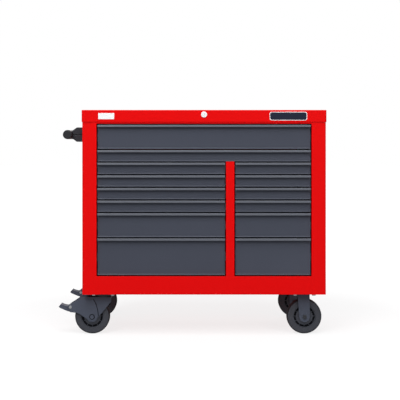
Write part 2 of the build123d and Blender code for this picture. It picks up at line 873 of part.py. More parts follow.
def brake_pedal(axle_x, wheel_y):
    """A wedge-shaped pedal with a nose that presses on the tyre when the tip is stepped down."""
    pivot = (axle_x - brake_pivot_back, axle_z + brake_pivot_up)
    outline = pedal_top_edge + ((-pedal_length, 0),) + pedal_low_edge
    nose = (
        pivot[0] + (brake_nose_reach - brake_nose_round) * cos(radians(brake_nose_angle)),
        pivot[1] + (brake_nose_reach - brake_nose_round) * sin(radians(brake_nose_angle)),
    )
    with BuildPart() as pedal:
        with BuildSketch(Plane.XZ.offset(-(wheel_y - pedal_half_width))):
            with BuildLine():
                Polyline(*[(pivot[0] + x, pivot[1] + z) for x, z in outline], close=True)
            make_face()
            with Locations(pivot):
                Circle(pedal_barrel_radius)
        extrude(amount=-2 * pedal_half_width)
        with BuildSketch(Plane.XZ.offset(-(wheel_y - brake_shoe_width / 2))):
            with BuildLine():
                Line(pivot, nose)
                offset(amount=brake_nose_round, side=Side.BOTH)
            make_face()
        extrude(amount=-brake_shoe_width)
        bore_half = pedal_half_width + weld_gap
        bore_radius = brake_pin_radius + running_clearance
        add(disc(bore_radius, pivot, wheel_y - bore_half, wheel_y + bore_half), mode=Mode.SUBTRACT)
    return pedal.part


swivel_axle_x = swivel_x - swivel_lead
caster_rows = (("front", front_caster_y), ("rear", rear_caster_y))
for row, wheel_y in caster_rows:
    keep([swivel_fork(wheel_y)], f"swivel_fork_{row}")
    keep([brake_pedal(swivel_axle_x, wheel_y)], f"brake_pedal_{row}")
    keep(wheel(swivel_axle_x, wheel_y), f"wheel_{row}_left")
    keep(wheel(rigid_x, wheel_y), f"wheel_{row}_right")
    keep([axle_bolt(swivel_axle_x, wheel_y), brake_pin(swivel_axle_x, wheel_y)], f"fork_pins_{row}_left")
keep([swivel_plate(wheel_y) for row, wheel_y in caster_rows], "swivel_plates")
keep([rigid_fork(wheel_y) for row, wheel_y in caster_rows], "rigid_forks")
keep([axle_bolt(rigid_x, wheel_y) for row, wheel_y in caster_rows], "axle_bolts_right")

channels = []
for channel_x in (swivel_x, rigid_x):
    channel_low = (channel_x - channel_width / 2, front_y + stile_return + weld_gap, base_z + base_sheet)
    channel_high = (
        channel_x + channel_width / 2,
        back_y - 2 * outer_bend,
        base_z + base_sheet + channel_flange,
    )
    with BuildPart() as caster_channel:
        add(block(channel_low, channel_high))
        inside = block(
            (channel_low[0] + channel_sheet, channel_low[1], channel_low[2] + channel_sheet),
            (channel_high[0] - channel_sheet, channel_high[1], channel_high[2]),
        )
        add(inside, mode=Mode.SUBTRACT)
        for plate_y in (front_caster_y, rear_caster_y):
            with BuildSketch(Plane.XY.offset(channel_low[2])):
                with Locations((channel_x, plate_y)):
                    with GridLocations(bolt_spacing_x, bolt_spacing_y, 2, 2):
                        Circle(bolt_radius + hole_clearance)
            extrude(amount=channel_sheet, mode=Mode.SUBTRACT)
    caster_channel.part.label = "caster_channel"
    channels.append(caster_channel.part)

nut_low_z = base_z + base_sheet + channel_sheet
nut_high_z = nut_low_z + bolt_nut_height


def caster_bolt(bolt_x, bolt_y):
    """A bolt up through the plate, the base and the channel, with its head below and its nut above."""
    with BuildPart() as bolt:
        for from_z, to_z, across in (
            (plate_under_z - bolt_head_height, plate_under_z, bolt_head_radius),
            (nut_low_z, nut_high_z, bolt_head_radius),
        ):
            with BuildSketch(Plane.XY.offset(from_z)):
                with Locations((bolt_x, bolt_y)):
                    RegularPolygon(across, 6)
            extrude(amount=to_z - from_z)
        with BuildSketch(Plane.XY.offset(plate_under_z - bolt_head_height)):
            with Locations((bolt_x, bolt_y)):
                Circle(bolt_radius)
        extrude(amount=nut_high_z - plate_under_z + bolt_head_height + bolt_end_height)
    bolt.part.label = "caster_bolt"
    return bolt.part


bolts = []
for plate_x in (swivel_x, rigid_x):
    for plate_y in (front_caster_y, rear_caster_y):
        for across in (-bolt_spacing_x / 2, bolt_spacing_x / 2):
            for along in (-bolt_spacing_y / 2, bolt_spacing_y / 2):
                bolts.append(caster_bolt(plate_x + across, plate_y + along))
keep(bolts, "caster_bolts")
keep(channels, "caster_channels")
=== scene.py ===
import json
import math

import bmesh
import bpy
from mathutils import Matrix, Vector


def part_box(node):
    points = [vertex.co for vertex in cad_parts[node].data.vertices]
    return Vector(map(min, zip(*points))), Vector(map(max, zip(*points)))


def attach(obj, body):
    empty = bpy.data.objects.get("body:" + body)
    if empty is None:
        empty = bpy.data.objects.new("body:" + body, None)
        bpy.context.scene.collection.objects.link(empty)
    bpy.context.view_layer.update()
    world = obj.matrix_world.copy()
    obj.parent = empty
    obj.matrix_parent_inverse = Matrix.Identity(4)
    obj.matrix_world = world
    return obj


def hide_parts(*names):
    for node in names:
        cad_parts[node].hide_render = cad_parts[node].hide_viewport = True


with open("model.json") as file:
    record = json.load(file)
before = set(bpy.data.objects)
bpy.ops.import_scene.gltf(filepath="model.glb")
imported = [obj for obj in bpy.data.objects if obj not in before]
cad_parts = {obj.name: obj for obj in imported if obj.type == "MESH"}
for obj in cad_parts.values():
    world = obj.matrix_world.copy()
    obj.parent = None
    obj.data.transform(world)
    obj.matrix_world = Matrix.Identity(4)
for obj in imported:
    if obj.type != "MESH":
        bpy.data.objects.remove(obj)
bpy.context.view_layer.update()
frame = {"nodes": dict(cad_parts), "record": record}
nodes = frame["nodes"]
mm = 0.001

drawerNames = sorted(name for name in nodes if name.startswith("drawer_"))
bodyOf = {name: body for body, names in frame["record"]["behaviour"]["bodies"].items() for name in names}


studio = {
    "eye": (-0.007, -5.049, 0.9225),
    "lens": 90.8,
    "shift": (0.0245, -0.1507),
    "floorHalf": 30.0,
    "floorColour": (0.20, 0.20, 0.20),
    "floorGlow": (0.80, 1.0),
    "glowReach": (1.1, 2.6),
    "glowOnChest": 0.3,
    "skyForCamera": (1.0, 1.0, 1.0),
    "skyForLight": (0.20, 0.205, 0.215),
}


def makeCamera():
    lens = bpy.data.cameras.new("camera")
    lens.lens = studio["lens"]
    lens.sensor_width = 36.0
    lens.shift_x, lens.shift_y = studio["shift"]
    lens.clip_end = 200.0
    camera = bpy.data.objects.new("camera", lens)
    camera.location = studio["eye"]
    camera.rotation_euler = (math.radians(90), 0.0, 0.0)
    bpy.context.scene.collection.objects.link(camera)
    bpy.context.scene.camera = camera


def makeFloor():
    half = studio["floorHalf"]
    mesh = bpy.data.meshes.new("floor")
    corners = [(-half, -half, 0), (half, -half, 0), (half, half, 0), (-half, half, 0)]
    mesh.from_pydata(corners, [], [(0, 1, 2, 3)])
    material = bpy.data.materials.new("paleFloor")
    material.use_nodes = True
    shader = material.node_tree.nodes["Principled BSDF"]
    shader.inputs["Base Color"].default_value = (*studio["floorColour"], 1.0)
    shader.inputs["Roughness"].default_value = 0.9
    shader.inputs["Specular IOR Level"].default_value = 0.0
    shader.inputs["Emission Color"].default_value = (1.0, 1.0, 1.0, 1.0)
    # the glow grows away from the chest, so that its soft shadow stays and the horizon is white
    tree = material.node_tree
    place = tree.nodes.new("ShaderNodeTexCoord")
    reach = tree.nodes.new("ShaderNodeVectorMath")
    reach.operation = "LENGTH"
    tree.links.new(place.outputs["Object"], reach.inputs[0])
    glow = tree.nodes.new("ShaderNodeMapRange")
    tree.links.new(reach.outputs["Value"], glow.inputs["Value"])
    glow.inputs["From Min"].default_value, glow.inputs["From Max"].default_value = studio["glowReach"]
    glow.inputs["To Min"].default_value, glow.inputs["To Max"].default_value = studio["floorGlow"]
    path = tree.nodes.new("ShaderNodeLightPath")
    strength = tree.nodes.new("ShaderNodeMix")
    tree.links.new(path.outputs["Is Camera Ray"], strength.inputs["Factor"])
    strength.inputs["A"].default_value = studio["glowOnChest"]
    tree.links.new(glow.outputs[0], strength.inputs["B"])
    tree.links.new(strength.outputs["Result"], shader.inputs["Emission Strength"])
    mesh.materials.append(material)
    floor = bpy.data.objects.new("floor", mesh)
    bpy.context.scene.collection.objects.link(floor)


def makeSky():
    # white where the camera looks, a dimmer grey for what lights the chest
    world = bpy.data.worlds.new("studioSky")
    world.use_nodes = True
    tree = world.node_tree
    seen = tree.nodes.new("ShaderNodeBackground")
    seen.inputs["Color"].default_value = (*studio["skyForCamera"], 1.0)
    lit = tree.nodes["Background"]
    lit.inputs["Color"].default_value = (*studio["skyForLight"], 1.0)
    path = tree.nodes.new("ShaderNodeLightPath")
    mix = tree.nodes.new("ShaderNodeMixShader")
    tree.links.new(path.outputs["Is Camera Ray"], mix.inputs[0])
    tree.links.new(lit.outputs[0], mix.inputs[1])
    tree.links.new(seen.outputs[0], mix.inputs[2])
    tree.links.new(mix.outputs[0], tree.nodes["World Output"].inputs["Surface"])
    bpy.context.scene.world = world


softBoxes = {
    "overhead": {"at": (-0.3, -3.0, 6.0), "aim": (0.0, 0.0, 0.5), "size": (5.0, 4.0), "watts": 300.0},
    "keyLeft": {"at": (-3.0, -6.5, 5.5), "aim": (0.0, 0.0, 0.5), "size": (3.0, 2.5), "watts": 255.0},
    "fillRight": {"at": (4.0, -7.0, 4.0), "aim": (0.0, 0.0, 0.5), "size": (3.0, 2.5), "watts": 150.0},
    "behind": {"at": (0.0, 5.0, 3.6), "aim": (0.0, 0.0, 0.5), "size": (5.0, 2.0), "watts": 110.0},
}


def makeLights():
    for name, box in softBoxes.items():
        light = bpy.data.lights.new(name, "AREA")
        light.shape = "RECTANGLE"
        light.size, light.size_y = box["size"]
        light.energy = box["watts"]
        lamp = bpy.data.objects.new(name, light)
        lamp.location = box["at"]
        aim = Vector(box["aim"]) - Vector(box["at"])
        lamp.rotation_euler = aim.to_track_quat("-Z", "Y").to_euler()
        lamp.visible_camera = False
        bpy.context.scene.collection.objects.link(lamp)


makeCamera()
makeFloor()
makeSky()
makeLights()
bpy.context.scene.view_settings.view_transform = "Standard"
print("camera, floor and lights ready")


def newGroup(name, inputs, outputs):
    group = bpy.data.node_groups.new(name, "ShaderNodeTree")
    for label, kind, value in inputs:
        socket = group.interface.new_socket(name=label, in_out="INPUT", socket_type=kind)
        socket.default_value = value
    for label, kind in outputs:
        group.interface.new_socket(name=label, in_out="OUTPUT", socket_type=kind)
    return group, group.nodes.new("NodeGroupInput"), group.nodes.new("NodeGroupOutput")


def mathNode(tree, operation, first, second, clamp=False):
    node = tree.nodes.new("ShaderNodeMath")
    node.operation = operation
    node.use_clamp = clamp
    for socket, value in zip(node.inputs, (first, second)):
        if isinstance(value, float):
            socket.default_value = value
        else:
            tree.links.new(value, socket)
    return node.outputs[0]


def noiseNode(tree, vector, scale, detail, rough=0.55):
    node = tree.nodes.new("ShaderNodeTexNoise")
    node.inputs["Detail"].default_value = detail
    node.inputs["Roughness"].default_value = rough
    tree.links.new(vector, node.inputs["Vector"])
    tree.links.new(scale, node.inputs["Scale"])
    return node.outputs["Fac"]


def makeCoatGroup():
    # powder coat: a fine orange peel with a slow drift of tone under it
    group, start, end = newGroup(
        "powderCoat",
        [("Peel Scale", "NodeSocketFloat", 900.0), ("Drift Scale", "NodeSocketFloat", 5.0)],
        [("Height", "NodeSocketFloat"), ("Drift", "NodeSocketFloat"), ("Speckle", "NodeSocketFloat")],
    )
    place = group.nodes.new("ShaderNodeTexCoord").outputs["Object"]
    peel = noiseNode(group, place, start.outputs["Peel Scale"], 2.0)
    drift = noiseNode(group, place, start.outputs["Drift Scale"], 2.0)
    speckle = mathNode(group, "SUBTRACT", peel, 0.5)
    speckle = mathNode(group, "MULTIPLY", speckle, 3.0)
    speckle = mathNode(group, "ADD", speckle, 0.5, clamp=True)
    group.links.new(peel, end.inputs["Height"])
    group.links.new(drift, end.inputs["Drift"])
    group.links.new(speckle, end.inputs["Speckle"])
    return group


def makeWearGroup():
    # rubs on outside edges, broken up by noise
    group, start, end = newGroup(
        "edgeWear",
        [("Reach", "NodeSocketFloat", 0.5), ("Break Up", "NodeSocketFloat", 60.0),
         ("Width", "NodeSocketFloat", 0.0012)],
        [("Mask", "NodeSocketFloat")],
    )
    geometry = group.nodes.new("ShaderNodeNewGeometry")
    place = group.nodes.new("ShaderNodeTexCoord").outputs["Object"]
    rounded = group.nodes.new("ShaderNodeBevel")
    rounded.samples = 4
    group.links.new(start.outputs["Width"], rounded.inputs["Radius"])
    meet = group.nodes.new("ShaderNodeVectorMath")
    meet.operation = "DOT_PRODUCT"
    group.links.new(rounded.outputs["Normal"], meet.inputs[0])
    group.links.new(geometry.outputs["Normal"], meet.inputs[1])
    edge = mathNode(group, "SUBTRACT", 1.0, meet.outputs["Value"])
    edge = mathNode(group, "MULTIPLY", edge, 4.0, clamp=True)
    broken = noiseNode(group, place, start.outputs["Break Up"], 4.0)
    broken = mathNode(group, "SUBTRACT", broken, 0.35, clamp=True)
    mask = mathNode(group, "MULTIPLY", edge, broken)
    mask = mathNode(group, "MULTIPLY", mask, start.outputs["Reach"], clamp=True)
    group.links.new(mask, end.inputs["Mask"])
    return group


def makeDustGroup():
    # thin uneven dust on faces that look up
    group, start, end = newGroup(
        "settledDust",
        [("Amount", "NodeSocketFloat", 0.2), ("Patch Scale", "NodeSocketFloat", 18.0)],
        [("Mask", "NodeSocketFloat")],
    )
    geometry = group.nodes.new("ShaderNodeNewGeometry")
    split = group.nodes.new("ShaderNodeSeparateXYZ")
    group.links.new(geometry.outputs["Normal"], split.inputs[0])
    place = group.nodes.new("ShaderNodeTexCoord").outputs["Object"]
    up = mathNode(group, "MAXIMUM", split.outputs["Z"], 0.0)
    up = mathNode(group, "POWER", up, 3.0)
    patches = noiseNode(group, place, start.outputs["Patch Scale"], 5.0)
    mask = mathNode(group, "MULTIPLY", up, patches)
    mask = mathNode(group, "MULTIPLY", mask, start.outputs["Amount"], clamp=True)
    group.links.new(mask, end.inputs["Mask"])
    return group


def makeGrainGroup():
    # long drawn scratches, stretched along one axis
    group, start, end = newGroup(
        "drawnGrain",
        [("Stretch", "NodeSocketVector", (1.0, 1.0, 1.0)), ("Scale", "NodeSocketFloat", 400.0)],
        [("Fac", "NodeSocketFloat")],
    )
    place = group.nodes.new("ShaderNodeTexCoord").outputs["Object"]
    scaled = group.nodes.new("ShaderNodeVectorMath")
    scaled.operation = "MULTIPLY"
    group.links.new(place, scaled.inputs[0])
    group.links.new(start.outputs["Stretch"], scaled.inputs[1])
    grain = noiseNode(group, scaled.outputs[0], start.outputs["Scale"], 3.0, 0.7)
    group.links.new(grain, end.inputs["Fac"])
    return group


shaderGroups = {
    "coat": makeCoatGroup(),
    "wear": makeWearGroup(),
    "dust": makeDustGroup(),
    "grain": makeGrainGroup(),
}


def newMaterial(name):
    material = bpy.data.materials.new(name)
    material.use_nodes = True
    return material, material.node_tree, material.node_tree.nodes["Principled BSDF"]


def useGroup(tree, key, values):
    node = tree.nodes.new("ShaderNodeGroup")
    node.node_tree = shaderGroups[key]
    for label, value in values.items():
        node.inputs[label].default_value = value
    return node


def mixColours(tree, factor, first, second):
    mix = tree.nodes.new("ShaderNodeMix")
    mix.data_type = "RGBA"
    tree.links.new(factor, mix.inputs["Factor"])
    for socket, value in ((mix.inputs[6], first), (mix.inputs[7], second)):
        if isinstance(value, tuple):
            socket.default_value = (*value, 1.0)
        else:
            tree.links.new(value, socket)
    return mix.outputs[2]


def spread(tree, factor, low, high):
    node = tree.nodes.new("ShaderNodeMapRange")
    tree.links.new(factor, node.inputs["Value"])
    node.inputs["To Min"].default_value = low
    node.inputs["To Max"].default_value = high
    return node.outputs[0]


def bumpFrom(tree, height, strength, distance):
    bump = tree.nodes.new("ShaderNodeBump")
    bump.inputs["Strength"].default_value = strength
    bump.inputs["Distance"].default_value = distance
    tree.links.new(height, bump.inputs["Height"])
    return bump.outputs["Normal"]


dustColour = {"onPaint": (0.5, 0.49, 0.47), "onRubber": (0.30, 0.29, 0.27)}
peelDepth = {"paint": 0.0004, "plating": 0.0002, "rubber": 0.0005}  # metres, for the bump

paintLooks = {
    "redPowderCoat": {"colour": (0.72, 0.0015, 0.002), "drift": (0.69, 0.0012, 0.0016),
                      "rubbed": (0.84, 0.06, 0.05), "roughness": 0.42, "peelScale": 700.0, "speckle": 0.10,
                      "wear": 0.2, "dust": 0.03, "bump": 0.10, "specular": 0.08},
    "charcoalPowderCoat": {"colour": (0.058, 0.065, 0.089), "drift": (0.050, 0.056, 0.078),
                           "rubbed": (0.13, 0.135, 0.15), "roughness": 0.5, "peelScale": 1100.0,
                           "speckle": 0.35, "wear": 0.5, "dust": 0.05, "bump": 0.30, "specular": 0.22},
    # the pull's paint is lighter than the front's: partly its own finish, partly a painted highlight for the
    # light its tilted lip catches
    "pullPaintWithPaintedLight": {"colour": (0.092, 0.100, 0.122), "drift": (0.084, 0.091, 0.112),
                  "rubbed": (0.22, 0.23, 0.25), "roughness": 0.40, "peelScale": 1400.0, "speckle": 0.2,
                  "wear": 0.6, "dust": 0.03, "bump": 0.12, "specular": 0.35},
    "handlePaint": {"colour": (0.034, 0.036, 0.044), "drift": (0.029, 0.031, 0.038),
                    "rubbed": (0.10, 0.10, 0.11), "roughness": 0.45, "peelScale": 900.0, "speckle": 0.3,
                    "wear": 0.6, "dust": 0.05, "bump": 0.2, "specular": 0.3},
    "casterPaint": {"colour": (0.068, 0.078, 0.108), "drift": (0.060, 0.069, 0.096),
                    "rubbed": (0.12, 0.12, 0.13), "roughness": 0.5, "peelScale": 900.0, "speckle": 0.3,
                    "wear": 0.6, "dust": 0.06, "bump": 0.25, "specular": 0.25},
    # blackOxideAndPaintedShade is a dark finish on the caster parts, and painted shade on the inner walls and
    # the divider shelf
    "blackOxideAndPaintedShade": {"colour": (0.030, 0.032, 0.038), "drift": (0.022, 0.024, 0.029),
                   "rubbed": (0.12, 0.12, 0.13), "roughness": 0.42, "peelScale": 900.0, "speckle": 0.3,
                   "wear": 0.8, "dust": 0.05, "bump": 0.2, "specular": 0.4},
    "plateNavy": {"colour": (0.007, 0.012, 0.030), "drift": (0.006, 0.010, 0.026),
                  "rubbed": (0.05, 0.06, 0.08), "roughness": 0.30, "peelScale": 500.0, "speckle": 0.1,
                  "wear": 0.1, "dust": 0.02, "bump": 0.03, "specular": 0.4},
    "plateWhite": {"colour": (0.84, 0.84, 0.85), "drift": (0.80, 0.80, 0.81),
                   "rubbed": (0.6, 0.6, 0.6), "roughness": 0.35, "peelScale": 500.0, "speckle": 0.05,
                   "wear": 0.1, "dust": 0.02, "bump": 0.03, "specular": 0.4},
}


def paintedSteel(name, look):
    material, tree, shader = newMaterial(name)
    coat = useGroup(tree, "coat", {"Peel Scale": look["peelScale"]})
    wear = useGroup(tree, "wear", {"Reach": look["wear"]})
    dust = useGroup(tree, "dust", {"Amount": look["dust"]})
    colour = mixColours(tree, coat.outputs["Drift"], look["colour"], look["drift"])
    darker = tuple(part * (1.0 - look["speckle"]) for part in look["colour"])
    fine = mathNode(tree, "MULTIPLY", coat.outputs["Speckle"], 0.5)
    colour = mixColours(tree, fine, colour, darker)
    colour = mixColours(tree, wear.outputs["Mask"], colour, look["rubbed"])
    colour = mixColours(tree, dust.outputs["Mask"], colour, dustColour["onPaint"])
    tree.links.new(colour, shader.inputs["Base Color"])
    rough = spread(tree, coat.outputs["Drift"], look["roughness"] - 0.05, look["roughness"] + 0.05)
    dusty = mathNode(tree, "MULTIPLY", dust.outputs["Mask"], 0.5)
    tree.links.new(mathNode(tree, "ADD", rough, dusty, clamp=True), shader.inputs["Roughness"])
    normal = bumpFrom(tree, coat.outputs["Height"], look["bump"], peelDepth["paint"])
    tree.links.new(normal, shader.inputs["Normal"])
    shader.inputs["Specular IOR Level"].default_value = look["specular"]
    return material


plateLooks = {
    "zincPlate": {"stretch": (1.0, 0.06, 1.0), "scale": 500.0, "dark": (0.40, 0.41, 0.42),
                  "light": (0.60, 0.61, 0.62), "smooth": 0.28, "rough": 0.45, "metallic": 1.0,
                  "bump": 0.15},
    "chromePlate": {"stretch": (1.0, 1.0, 0.1), "scale": 300.0, "dark": (0.94, 0.94, 0.95),
                    "light": (0.98, 0.98, 0.99), "smooth": 0.18, "rough": 0.28, "metallic": 0.2,
                    "bump": 0.15},
}


def platedSteel(name, look):
    material, tree, shader = newMaterial(name)
    grain = useGroup(tree, "grain", {"Stretch": look["stretch"], "Scale": look["scale"]})
    colour = mixColours(tree, grain.outputs["Fac"], look["dark"], look["light"])
    tree.links.new(colour, shader.inputs["Base Color"])
    rough = spread(tree, grain.outputs["Fac"], look["smooth"], look["rough"])
    tree.links.new(rough, shader.inputs["Roughness"])
    normal = bumpFrom(tree, grain.outputs["Fac"], look["bump"], peelDepth["plating"])
    tree.links.new(normal, shader.inputs["Normal"])
    shader.inputs["Metallic"].default_value = look["metallic"]
    return material


rubberLooks = {
    "tyreRubber": {"colour": (0.052, 0.055, 0.066), "drift": (0.042, 0.045, 0.055), "roughness": 0.62,
                   "peelScale": 600.0, "dust": 0.12, "bump": 0.35, "specular": 0.25},
    # the tread is darker than the sidewall: partly a darker tread rubber, partly painted shade where the
    # rounded shoulder turns from the light
    "treadRubberPaintedShade": {"colour": (0.014, 0.015, 0.018), "drift": (0.011, 0.012, 0.015), "roughness": 0.7,
                    "peelScale": 500.0, "dust": 0.15, "bump": 0.4, "specular": 0.2},
    "hubPlastic": {"colour": (0.056, 0.061, 0.076), "drift": (0.047, 0.051, 0.065), "roughness": 0.48,
                   "peelScale": 1200.0, "dust": 0.06, "bump": 0.15, "specular": 0.3},
    "linerRubber": {"colour": (0.018, 0.018, 0.019), "drift": (0.013, 0.013, 0.014), "roughness": 0.75,
                    "peelScale": 2500.0, "dust": 0.10, "bump": 0.3, "specular": 0.25},
    "grooveShade": {"colour": (0.010, 0.011, 0.014), "drift": (0.008, 0.009, 0.012), "roughness": 0.7,
                    "peelScale": 1200.0, "dust": 0.03, "bump": 0.1, "specular": 0.1},
    # blackPlasticAndPaintedShade is the handle caps' plastic, and painted shade in the lock's key slot
    "blackPlasticAndPaintedShade": {"colour": (0.016, 0.017, 0.020), "drift": (0.012, 0.013, 0.016), "roughness": 0.45,
                     "peelScale": 1500.0, "dust": 0.05, "bump": 0.2, "specular": 0.35},
}


def mouldedRubber(name, look):
    material, tree, shader = newMaterial(name)
    coat = useGroup(tree, "coat", {"Peel Scale": look["peelScale"], "Drift Scale": 14.0})
    dust = useGroup(tree, "dust", {"Amount": look["dust"]})
    colour = mixColours(tree, coat.outputs["Drift"], look["colour"], look["drift"])
    colour = mixColours(tree, dust.outputs["Mask"], colour, dustColour["onRubber"])
    tree.links.new(colour, shader.inputs["Base Color"])
    rough = spread(tree, coat.outputs["Drift"], look["roughness"] - 0.06, look["roughness"] + 0.06)
    tree.links.new(rough, shader.inputs["Roughness"])
    normal = bumpFrom(tree, coat.outputs["Height"], look["bump"], peelDepth["rubber"])
    tree.links.new(normal, shader.inputs["Normal"])
    shader.inputs["Specular IOR Level"].default_value = look["specular"]
    return material


materials = {}
for looks, maker in ((paintLooks, paintedSteel), (plateLooks, platedSteel), (rubberLooks, mouldedRubber)):
    for materialName, look in looks.items():
        materials[materialName] = maker(materialName, look)
print("materials made:", len(materials))


def newPiece(name, mesh, materialName):
    piece = bpy.data.objects.new(name, mesh)
    bpy.context.scene.collection.objects.link(piece)
    mesh.materials.append(materials[materialName])
    return piece


def shadeByAngle(mesh, angle=35):
    for face in mesh.polygons:
        face.use_smooth = True
    mesh.set_sharp_from_angle(angle=math.radians(angle))


def applyModifiers(piece):
    graph = bpy.context.evaluated_depsgraph_get()
    mesh = bpy.data.meshes.new_from_object(piece.evaluated_get(graph), depsgraph=graph)
    piece.modifiers.clear()
    piece.data = mesh
    return piece


def softenEdges(piece, width, segments=2):
    bevel = piece.modifiers.new("softEdges", "BEVEL")
    bevel.width = width
    bevel.segments = segments
    bevel.limit_method = "ANGLE"
    bevel.angle_limit = math.radians(32)
    weighted = piece.modifiers.new("flatFaces", "WEIGHTED_NORMAL")
    weighted.keep_sharp = True
    shadeByAngle(piece.data, 60)
    return applyModifiers(piece)


def finishPiece(piece, body):
    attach(piece, body)
    return piece


def islandsOf(nodeName):
    # the separate solids of a node, as clean meshes with their boxes
    shape = bmesh.new()
    shape.from_mesh(nodes[nodeName].data)
    bmesh.ops.remove_doubles(shape, verts=shape.verts, dist=0.002 * mm)
    bmesh.ops.dissolve_limit(shape, angle_limit=math.radians(0.4), verts=shape.verts, edges=shape.edges)
    for face in shape.faces:
        face.tag = False
    groups = []
    for first in shape.faces:  # always walked in the same order, so that every run gives the same mesh
        if first.tag:
            continue
        first.tag = True
        stack, group = [first], []
        while stack:
            face = stack.pop()
            group.append(face)
            for edge in face.edges:
                for other in edge.link_faces:
                    if not other.tag:
                        other.tag = True
                        stack.append(other)
        groups.append(group)
    islands = []
    for group in groups:
        places, faces, seen = [], [], {}
        for face in group:
            corners = []
            for vert in face.verts:
                if vert not in seen:
                    seen[vert] = len(places)
                    places.append(vert.co.copy())
                corners.append(seen[vert])
            faces.append(corners)
        low = Vector(min(place[axis] for place in places) for axis in range(3))
        high = Vector(max(place[axis] for place in places) for axis in range(3))
        mesh = bpy.data.meshes.new(nodeName)
        mesh.from_pydata(places, [], faces)
        islands.append({"mesh": mesh, "low": low, "high": high, "size": high - low})
    shape.free()
    return islands


def cutMesh(mesh, place, normal):
    # edges added where a plane crosses the mesh, so that it can be split there
    shape = bmesh.new()
    shape.from_mesh(mesh)
    everything = shape.verts[:] + shape.edges[:] + shape.faces[:]
    bmesh.ops.bisect_plane(shape, geom=everything, plane_co=place, plane_no=normal)
    shape.to_mesh(mesh)
    shape.free()


def joinMeshes(name, meshes):
    shape = bmesh.new()
    for mesh in meshes:
        shape.from_mesh(mesh)
    joined = bpy.data.meshes.new(name)
    shape.to_mesh(joined)
    shape.free()
    return joined


def splitMesh(mesh, name, inside):
    # two meshes from one: the faces that pass the test, and the rest
    halves = []
    for wanted in (True, False):
        shape = bmesh.new()
        shape.from_mesh(mesh)
        drop = [face for face in shape.faces if bool(inside(face)) != wanted]
        bmesh.ops.delete(shape, geom=drop, context="FACES")
        part = bpy.data.meshes.new(name)
        shape.to_mesh(part)
        shape.free()
        halves.append(part)
    return halves


def boxMesh(name, boxes):
    places, faces = [], []
    for low, high in boxes:
        base = len(places)
        for corner in range(8):
            places.append(tuple(high[axis] if corner >> axis & 1 else low[axis] for axis in range(3)))
        for face in ((0, 2, 3, 1), (4, 5, 7, 6), (0, 1, 5, 4), (2, 6, 7, 3), (0, 4, 6, 2), (1, 3, 7, 5)):
            faces.append([base + corner for corner in face])
    mesh = bpy.data.meshes.new(name)
    mesh.from_pydata(places, [], faces)
    return mesh


def turnOutwards(mesh):
    shape = bmesh.new()
    shape.from_mesh(mesh)
    bmesh.ops.recalc_face_normals(shape, faces=shape.faces)
    shape.to_mesh(mesh)
    shape.free()
    return mesh


def plateMesh(name, outline, fromY, toY):
    # a flat plate parallel to the XZ plane, between two depths
    count = len(outline)
    places = [(x, fromY, z) for x, z in outline] + [(x, toY, z) for x, z in outline]
    faces = [list(range(count)), list(range(2 * count - 1, count - 1, -1))]
    faces += [[side, side + count, (side + 1) % count + count, (side + 1) % count] for side in range(count)]
    mesh = bpy.data.meshes.new(name)
    mesh.from_pydata(places, [], faces)
    return turnOutwards(mesh)


def roundedOutline(low, high, radius, steps=6):
    corners = ((high[0] - radius, low[1] + radius, -90), (high[0] - radius, high[1] - radius, 0),
               (low[0] + radius, high[1] - radius, 90), (low[0] + radius, low[1] + radius, 180))
    outline = []
    for x, z, start in corners:
        for step in range(steps + 1):
            turn = math.radians(start + 90 * step / steps)
            outline.append((x + radius * math.cos(turn), z + radius * math.sin(turn)))
    return outline


def spunMesh(name, profile, centre, steps=64):
    # a profile of (radius, y) turned about the Y axis through centre (x, z)
    places, faces = [], []
    for radius, y in profile:
        for step in range(steps):
            turn = 2 * math.pi * step / steps
            places.append((centre[0] + radius * math.cos(turn), y, centre[1] + radius * math.sin(turn)))
    for ring in range(len(profile)):
        here, after = ring * steps, (ring + 1) % len(profile) * steps
        for step in range(steps):
            side = (step + 1) % steps
            faces.append([here + step, here + side, after + side, after + step])
    mesh = bpy.data.meshes.new(name)
    mesh.from_pydata(places, [], faces)
    return turnOutwards(mesh)


def newRepeatTree(name, inputs):
    tree = bpy.data.node_groups.new(name, "GeometryNodeTree")
    tree.interface.new_socket(name="Geometry", in_out="INPUT", socket_type="NodeSocketGeometry")
    tree.interface.new_socket(name="Geometry", in_out="OUTPUT", socket_type="NodeSocketGeometry")
    for label, kind in inputs:
        tree.interface.new_socket(name=label, in_out="INPUT", socket_type=kind)
    return tree, tree.nodes.new("NodeGroupInput"), tree.nodes.new("NodeGroupOutput")


def finishRepeatTree(tree, start, end, instances, turn=None):
    realize = tree.nodes.new("GeometryNodeRealizeInstances")
    tree.links.new(instances, realize.inputs["Geometry"])
    result = realize.outputs["Geometry"]
    if turn:
        move = tree.nodes.new("GeometryNodeTransform")
        move.inputs["Rotation"].default_value = turn
        tree.links.new(start.outputs["Centre"], move.inputs["Translation"])
        tree.links.new(result, move.inputs["Geometry"])
        result = move.outputs["Geometry"]
    paint = tree.nodes.new("GeometryNodeSetMaterial")
    tree.links.new(result, paint.inputs["Geometry"])
    tree.links.new(start.outputs["Material"], paint.inputs["Material"])
    join = tree.nodes.new("GeometryNodeJoinGeometry")
    tree.links.new(paint.outputs["Geometry"], join.inputs["Geometry"])
    tree.links.new(start.outputs["Geometry"], join.inputs["Geometry"])
    tree.links.new(join.outputs["Geometry"], end.inputs["Geometry"])


